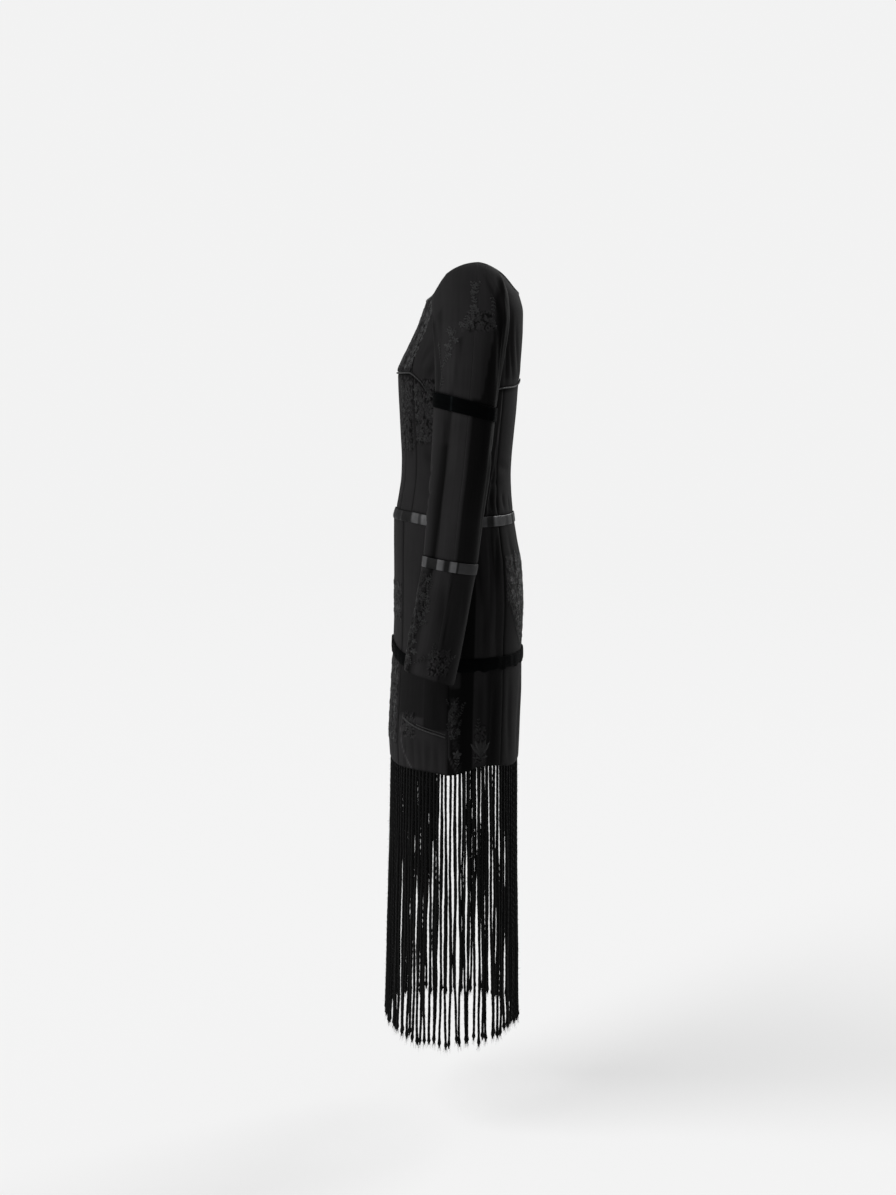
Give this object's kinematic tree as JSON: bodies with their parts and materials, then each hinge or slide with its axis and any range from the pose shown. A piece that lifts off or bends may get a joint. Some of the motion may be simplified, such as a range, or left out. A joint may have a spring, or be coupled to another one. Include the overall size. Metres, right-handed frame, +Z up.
{
  "type": "fringe dress",
  "caption": "Long-sleeved fitted dress in its worn form, with a wide neckline, ribbon bands and a deep fringe at the hem.",
  "frame": {"origin": "on the wearer's centre line between the shoulders, at the height of the shoulder seams, where the wearer holds the dress up", "axes": "+Z up, -Y the way the wearer faces, +X the wearer's left"},
  "size_m": [0.5388, 0.2387, 1.3142],
  "materials": {
    "crepe": "matt black crepe",
    "floral_lace": "raised black floral lace",
    "satin": "black satin ribbon with a soft gloss",
    "velvet": "deep black velvet pile",
    "piping": "rolled black satin edge",
    "yarn": "matt twisted black yarn"
  },
  "bodies": {
    "root": {"yoke_front": "floral_lace", "yoke_side_left": "crepe", "yoke_side_right": "crepe", "yoke_back_left": "crepe", "yoke_back_right": "crepe", "waist_front": "floral_lace", "waist_side_left": "crepe", "waist_side_right": "crepe", "waist_back_left": "crepe", "waist_back_right": "crepe", "skirt_front": "crepe", "skirt_side_front_left": "crepe", "skirt_side_front_right": "crepe", "skirt_side_back_left": "crepe", "skirt_side_back_right": "crepe", "skirt_back_left": "crepe", "skirt_back_right": "crepe", "sleeve_head_front_left": "crepe", "sleeve_head_back_left": "crepe", "sleeve_mid_front_left": "crepe", "sleeve_mid_back_left": "crepe", "sleeve_cuff_front_left": "crepe", "sleeve_cuff_back_left": "crepe", "sleeve_head_front_right": "crepe", "sleeve_head_back_right": "crepe", "sleeve_mid_front_right": "crepe", "sleeve_mid_back_right": "crepe", "sleeve_cuff_front_right": "crepe", "sleeve_cuff_back_right": "crepe", "velvet_arm_left": "velvet", "velvet_arm_right": "velvet", "satin_arm_left": "satin", "satin_arm_right": "satin", "satin_waist": "satin", "velvet_hip": "velvet", "piping_underbust": "piping", "piping_hip_left": "piping", "piping_hip_right": "piping", "neck_binding": "piping", "fringe_front": "yarn", "fringe_back": "yarn"}
  },
  "joints": []
}
